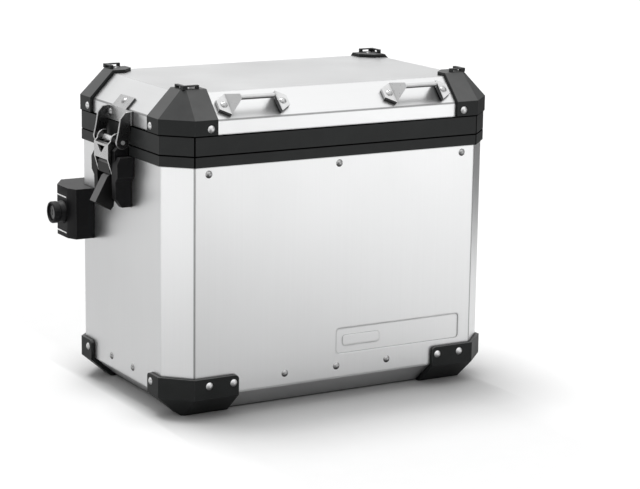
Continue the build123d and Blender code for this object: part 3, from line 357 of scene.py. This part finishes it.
def bright_trim(name):
    """White lacquered strip with faint flow marks."""
    made, tree, shader = material(name)
    flow = noise(tree, (300.0, 40.0, 300.0), 3.0, 0.6)
    colour = mix_colour(tree, flow, (0.86, 0.86, 0.86), (0.95, 0.95, 0.95))
    tree.links.new(colour, shader.inputs["Base Color"])
    tree.links.new(remap(tree, flow, 0.3, 0.7, 0.22, 0.34), shader.inputs["Roughness"])
    tree.links.new(bump(tree, flow, 0.01 * MM, 0.4), shader.inputs["Normal"])
    return made


# ------------------------------------------------ where seams and bends lie on the case

# The 45 degree corners, measured along the end wall: of the walls and of the rims
WALL_CUT = 29.0 * MM
RIM_CUT = 30.5 * MM
# The lid's top stands this high over the bend between its slope and its skirt
LID_RISE = 29.0 * MM

wall_low, wall_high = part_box("body_shell")
rim_low, rim_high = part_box("lid_rim")
body_rim_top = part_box("body_rim")[1][2]
lid_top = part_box("lid_shell")[1][2]
wall_bend = wall_high[0] - WALL_CUT
rim_bend = rim_high[0] - RIM_CUT

WALL_BENDS = ("X", (-wall_bend, wall_bend))
LID_BENDS = ("Z", (lid_top - LID_RISE,))
LEVEL_SEAMS = ("Z", ((body_rim_top + rim_low[2]) / 2, rim_high[2]))
UPRIGHT_SEAMS = ("X", (-rim_bend, rim_bend))

MATERIALS = {
    "sheet": brushed_sheet("brushed_sheet_upright", 0.86, 0.34, True, 0.92, WALL_BENDS),
    "lid_sheet": brushed_sheet("brushed_sheet_level", 0.88, 0.34, False, 0.7, LID_BENDS),
    "rim": moulding(
        "rim_black",
        (0.012, 0.013, 0.013),
        rough=0.42,
        grain=900.0,
        specular=0.22,
        scuff_and_highlight=0.05,
        top_sheen=0.05,
        level_lines=True,
        dark_lines=(LEVEL_SEAMS, UPRIGHT_SEAMS),
    ),
    "guard": moulding(
        "guard_black",
        (0.009, 0.010, 0.010),
        rough=0.46,
        grain=1500.0,
        specular=0.22,
        scuff_and_highlight=0.07,
        top_sheen=0.105,
        dark_lines=(LEVEL_SEAMS,),
    ),
    "seal": soft_rubber("seal_rubber"),
    # The rivets of the walls and handles are painted darker than those of the guards: a painted dark
    # reflection
    "rivet": satin_metal(
        "rivet_aluminium", 0.58, 0.26, edge_gain=0.0, seam_reach=4.0 * MM, underside_shade_tone=0.2
    ),
    "guard_rivet": satin_metal(
        "rivet_bright", 0.92, 0.36, edge_gain=0.0, seam_reach=1.5 * MM, underside_shade_tone=0.45, dull_above=lid_top
    ),
    "handle": satin_metal("cast_aluminium", 0.76, 0.32, seam_reach=4.0 * MM, underside_shade_tone=0.15),
    "steel": satin_metal("stainless_steel", 0.58, 0.30, edge_gain=0.25),
    "latch_steel": satin_metal("latch_steel", 0.62, 0.30, edge_gain=0.45, cheek_shade_tone=0.16),
    "bar": satin_metal("bright_steel", 0.95, 0.42, edge_gain=0.0, seam_reach=1.0 * MM),
    "housing": moulding(
        "housing_black",
        (0.004, 0.004, 0.0045),
        rough=0.4,
        grain=1800.0,
        specular=0.14,
        scuff_and_highlight=0.06,
        top_sheen=0.05,
    ),
    "lever": moulding(
        "lever_black",
        (0.006, 0.006, 0.006),
        rough=0.36,
        grain=1800.0,
        specular=0.18,
        scuff_and_highlight=0.08,
        top_sheen=0.21,
    ),
    "lock": moulding(
        "lock_black",
        (0.004, 0.004, 0.0045),
        rough=0.42,
        grain=1500.0,
        specular=0.15,
        scuff_and_highlight=0.05,
        top_sheen=0.06,
    ),
    "lock_metal": satin_metal("lock_plating", 0.14, 0.24),
    "screw": satin_metal("screw_steel", 0.5, 0.32),
    "trim": bright_trim("bright_trim"),
}
# Pieces whose look differs from the rest of their material slot in the record
OWN_MATERIAL = {
    "latch_bracket_left": "latch_steel",
    "latch_bracket_right": "latch_steel",
    "latch_hook_left": "latch_steel",
    "latch_hook_right": "latch_steel",
    "lid_guard_rivets": "guard_rivet",
    "base_guard_rivets": "guard_rivet",
}


# ------------------------------------------------------- edges of the CAD parts

EDGE_WIDTH = {
    "sheet": 0.6 * MM,
    "lid_sheet": 0.6 * MM,
    "rim": 0.5 * MM,
    "guard": 0.6 * MM,
    "handle": 0.5 * MM,
    "steel": 0.3 * MM,
    "latch_steel": 0.3 * MM,
    "housing": 0.4 * MM,
    "lever": 0.4 * MM,
    "lock": 0.5 * MM,
}
WELD_DISTANCE = 0.002 * MM
FLAT_ANGLE = math.radians(0.2)
EDGE_ANGLE = math.radians(30.0)


def soften(piece, width):
    """Real rounded edges on a CAD node, by modifiers."""
    weld = piece.modifiers.new("weld", "WELD")
    weld.merge_threshold = WELD_DISTANCE
    flat = piece.modifiers.new("flat", "DECIMATE")
    flat.decimate_type = "DISSOLVE"
    flat.angle_limit = FLAT_ANGLE
    bevel = piece.modifiers.new("bevel", "BEVEL")
    bevel.width = width
    bevel.segments = 2
    bevel.limit_method = "ANGLE"
    bevel.angle_limit = EDGE_ANGLE
    bevel.harden_normals = False
    normals = piece.modifiers.new("normals", "WEIGHTED_NORMAL")
    normals.keep_sharp = False
    normals.weight = 50


for subpart in frame["record"]["subparts"]:
    piece = nodes[subpart["node"]]
    slot = OWN_MATERIAL.get(subpart["node"], subpart["material_slot"])
    piece.data.materials.clear()
    piece.data.materials.append(MATERIALS[slot])
    if slot in EDGE_WIDTH:
        soften(piece, EDGE_WIDTH[slot])


# ------------------------------------------------- trim in the slits of the lock

TRIM_HEIGHT, TRIM_LENGTH, TRIM_DEEP = 1.5 * MM, 27.0 * MM, 3.0 * MM
TRIM_PROUD = 0.25 * MM
TRIM_EDGE = 0.2 * MM
TRIM_END_STEPS = 6
# The strips' heights over the housing's floor, and how far their front ends lie behind its front
TRIM_ABOVE_FLOOR = (6.0 * MM, 50.0 * MM)
TRIM_BEHIND_FRONT = 16.6 * MM


def trim_outline(front, height):
    """Points of a level bar with round ends, as (Y, Z) pairs."""
    radius = TRIM_HEIGHT / 2
    outline = []
    for centre, start in ((front + radius, 90.0), (front + TRIM_LENGTH - radius, -90.0)):
        for step in range(TRIM_END_STEPS + 1):
            angle = math.radians(start + 180.0 * step / TRIM_END_STEPS)
            outline.append((centre + radius * math.cos(angle), height + radius * math.sin(angle)))
    return outline


def trim_strip(name, above):
    """Bright strip set into a slit of the lock housing."""
    outer_x, front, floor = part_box("carrier_lock_housing")[0]
    outline = trim_outline(front + TRIM_BEHIND_FRONT, floor + above)
    shape = bmesh.new()
    outer = [shape.verts.new((outer_x - TRIM_PROUD, y, z)) for y, z in outline]
    inner = [shape.verts.new((outer_x + TRIM_DEEP, y, z)) for y, z in outline]
    shape.faces.new(outer)
    shape.faces.new(inner[::-1])
    for index in range(len(outline)):
        after = (index + 1) % len(outline)
        shape.faces.new((outer[index], inner[index], inner[after], outer[after]))
    bmesh.ops.recalc_face_normals(shape, faces=shape.faces)
    mesh = bpy.data.meshes.new(name)
    shape.to_mesh(mesh)
    shape.free()
    made = bpy.data.objects.new(name, mesh)
    bpy.context.scene.collection.objects.link(made)
    made.data.materials.append(MATERIALS["trim"])
    bevel = made.modifiers.new("bevel", "BEVEL")
    bevel.width = TRIM_EDGE
    bevel.segments = 2
    bevel.limit_method = "ANGLE"
    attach(made, "case")


for strip_name, above_floor in zip(("carrier_lock_trim_lower", "carrier_lock_trim_upper"), TRIM_ABOVE_FLOOR):
    trim_strip(strip_name, above_floor)


# ---------------------------------------------------------------------- studio

AMBIENT = 0.78
KEY_POWER = 1.45
KEY_WIDTH = math.radians(24.0)
KEY_TRAVEL = (0.09, -0.31, -0.95)

# The sky that metal mirrors: brightness level with the eye, and from SKY_TOP upward
SKY_LOW, SKY_HIGH = 0.44, 1.06
SKY_TOP = 0.7
# It darkens to SIDE_TONE sideways, and to REAR_TONE high up behind: (from, to) of the direction
SIDE_TONE, SIDEWAYS = 0.45, (0.68, 0.9)
REAR_TONE, HIGH_UP, REARWARD = 0.82, (0.6, 0.85), (0.1, 0.4)

FLOOR_SIZE = 80.0
FLOOR_DROP = 0.5 * MM
PAPER_DARK, PAPER_LIGHT = (0.84, 0.84, 0.84), (0.86, 0.86, 0.86)
# Painted soft shade on the paper close to the case. It fades out beside both ends, over (from, to) outside
# the wall
CONTACT_REACH = 0.11
CONTACT_TONE = 0.58
LIT_LEFT, LIT_RIGHT = (-30.0 * MM, 15.0 * MM), (-60.0 * MM, -10.0 * MM)
# Paper beside both ends is painted brighter: a painted pool of light
PAPER_LIT = (0.92, 0.92, 0.92)

# How bright mirrored paper is, against paper seen directly: (axis, from, to, share there, share beyond)
PAPER_FRONT = ("Y", -1.45, -0.8, 1.14, 0.79)
PAPER_LEFT = ("X", -1.1, -0.45, 1.4, 0.6)
PAPER_ACROSS = ("X", 0.15, 0.55, 0.84, 1.1)
PAPER_REAR = ("Y", 0.0, 1.4, 0.98, 0.68)
PAPER_RIGHT = ("X", 0.75, 1.3, 0.0, 0.82)
PAPER_BEHIND = ("Y", -0.75, -0.35, 0.0, 1.0)
# Dark wedge that the front left fold mirrors: its apex is this far from the end wall, its sides are X over -Y
WEDGE_INSET = 30.0 * MM
WEDGE_LEFT, WEDGE_RIGHT = (-0.95, -0.6), (0.0, 0.3)
WEDGE_START = 0.1
WEDGE_TONE = 0.2


def dark_wedge(tree, place):
    """Share of the paper that is left in the wedge in front of the front left fold."""
    out_x = maths(tree, "SUBTRACT", place["X"], wall_low[0] + WEDGE_INSET)
    out_y = maths(tree, "SUBTRACT", wall_low[1], place["Y"])
    lean = maths(tree, "DIVIDE", out_x, maths(tree, "MAXIMUM", out_y, 0.001))
    wedge = times(
        tree,
        remap(tree, lean, *WEDGE_LEFT, 0.0, 1.0),
        remap(tree, lean, *WEDGE_RIGHT, 1.0, 0.0),
        remap(tree, out_y, 0.0, WEDGE_START, 0.0, 1.0 - WEDGE_TONE),
    )
    return maths(tree, "SUBTRACT", 1.0, wedge)


def mirrored_share(tree, place):
    """How bright the paper looks in the mirror of the metal, by place."""

    def share(axis, start, end, here, beyond):
        return remap(tree, place[axis], start, end, here, beyond)

    near = maths(tree, "MAXIMUM", share(*PAPER_FRONT), share(*PAPER_LEFT))
    dark_right = times(tree, share(*PAPER_RIGHT), share(*PAPER_BEHIND))
    right = maths(tree, "SUBTRACT", 1.0, dark_right)
    return times(tree, near, share(*PAPER_ACROSS), share(*PAPER_REAR), right, dark_wedge(tree, place))


def floor_material():
    """White paper with painted shade close to the case and painted light beside its ends. Metal mirrors it
    darker towards the rear of the studio.
    """
    made, tree, shader = material("floor_paper")
    place = own_place(tree)
    grain = noise(tree, (40.0, 40.0, 40.0), 3.0, 0.6)
    lit_left = remap(tree, place["X"], wall_low[0] - LIT_LEFT[1], wall_low[0] - LIT_LEFT[0], 1.0, 0.0)
    lit_right = remap(tree, place["X"], wall_high[0] + LIT_RIGHT[0], wall_high[0] + LIT_RIGHT[1], 0.0, 1.0)
    lit_side = maths(tree, "MAXIMUM", lit_left, lit_right)
    shade = remap(tree, contact(tree, CONTACT_REACH), 0.3, 1.0, CONTACT_TONE, 1.0)
    shade = maths(tree, "MAXIMUM", shade, lit_side)
    paper = mix_colour(tree, lit_side, mix_colour(tree, grain, PAPER_DARK, PAPER_LIGHT), PAPER_LIT)
    paper = mix_colour(tree, shade, (0.0, 0.0, 0.0), paper)
    mirrored = tree.nodes.new("ShaderNodeVectorMath")
    mirrored.operation = "SCALE"
    tree.links.new(paper, mirrored.inputs[0])
    tree.links.new(mirrored_share(tree, place), mirrored.inputs["Scale"])
    path = tree.nodes.new("ShaderNodeLightPath")
    seen = mix_colour(tree, path.outputs["Is Glossy Ray"], paper, mirrored.outputs["Vector"])
    tree.links.new(seen, shader.inputs["Base Color"])
    set_inputs(shader, Roughness=0.9, Specular_IOR_Level=0.1)
    return made


def floor_plane():
    """The paper, a hair under the case."""
    half = FLOOR_SIZE / 2
    mesh = bpy.data.meshes.new("floor")
    corners = [(-half, -half, 0), (half, -half, 0), (half, half, 0), (-half, half, 0)]
    mesh.from_pydata(corners, [], [(0, 1, 2, 3)])
    made = bpy.data.objects.new("floor", mesh)
    bpy.context.scene.collection.objects.link(made)
    made.location = (0.0, 0.0, -FLOOR_DROP)
    made.data.materials.append(floor_material())


def studio_world():
    """Even light for the floor; mirrored metal sees a sky that brightens overhead."""
    world = bpy.data.worlds.new("studio")
    world.use_nodes = True
    tree = world.node_tree
    background = tree.nodes["Background"]
    place = tree.nodes.new("ShaderNodeTexCoord")
    split = tree.nodes.new("ShaderNodeSeparateXYZ")
    tree.links.new(place.outputs["Generated"], split.inputs["Vector"])
    direction = split.outputs
    sideways = remap(tree, maths(tree, "ABSOLUTE", direction["X"]), *SIDEWAYS, 0.0, 1.0)
    high_rear = times(
        tree,
        remap(tree, direction["Z"], *HIGH_UP, 0.0, 1.0),
        remap(tree, direction["Y"], *REARWARD, 0.0, 1.0),
    )
    sky = times(
        tree,
        remap(tree, direction["Z"], 0.0, SKY_TOP, SKY_LOW, SKY_HIGH),
        remap(tree, sideways, 0.0, 1.0, 1.0, SIDE_TONE),
        remap(tree, high_rear, 0.0, 1.0, 1.0, REAR_TONE),
    )
    glossy = tree.nodes.new("ShaderNodeLightPath").outputs["Is Glossy Ray"]
    even = times(tree, maths(tree, "SUBTRACT", 1.0, glossy), AMBIENT)
    tree.links.new(maths(tree, "ADD", times(tree, sky, glossy), even), background.inputs["Strength"])
    background.inputs["Color"].default_value = (1.0, 1.0, 1.0, 1.0)
    return world


def key_light():
    """Wide soft sun from above, a little behind the case."""
    key = bpy.data.lights.new("key", "SUN")
    key.energy = KEY_POWER
    key.angle = KEY_WIDTH
    lamp = bpy.data.objects.new("key", key)
    lamp.rotation_euler = Vector(KEY_TRAVEL).to_track_quat("-Z", "Y").to_euler()
    bpy.context.scene.collection.objects.link(lamp)


# ---------------------------------------------------------------------- camera

CAMERA_AZIMUTH = math.radians(30.22)
CAMERA_ELEVATION = math.radians(12.24)
CAMERA_ROLL = math.radians(0.82)
CAMERA_PLACE = (-1.2820, -2.2939, 0.7363)
CAMERA_LENS, CAMERA_SENSOR = 121.4, 36.0
CAMERA_CLIP = (0.1, 200.0)


def camera():
    """Camera at the photograph's view of the case: from the front left, a little above."""
    level = math.cos(CAMERA_ELEVATION)
    forward = Vector(
        (math.sin(CAMERA_AZIMUTH) * level, math.cos(CAMERA_AZIMUTH) * level, -math.sin(CAMERA_ELEVATION))
    )
    level_right = forward.cross(Vector((0.0, 0.0, 1.0))).normalized()
    level_up = level_right.cross(forward)
    right = level_right * math.cos(CAMERA_ROLL) + level_up * math.sin(CAMERA_ROLL)
    turn = Matrix((right, right.cross(forward), -forward)).transposed().to_4x4()
    data = bpy.data.cameras.new("camera")
    data.lens = CAMERA_LENS
    data.sensor_width = CAMERA_SENSOR
    data.sensor_fit = "HORIZONTAL"
    data.clip_start, data.clip_end = CAMERA_CLIP
    made = bpy.data.objects.new("camera", data)
    made.matrix_world = Matrix.Translation(CAMERA_PLACE) @ turn
    bpy.context.scene.collection.objects.link(made)
    bpy.context.scene.camera = made


floor_plane()
bpy.context.scene.world = studio_world()
key_light()
camera()
bpy.context.scene.view_settings.view_transform = "Standard"
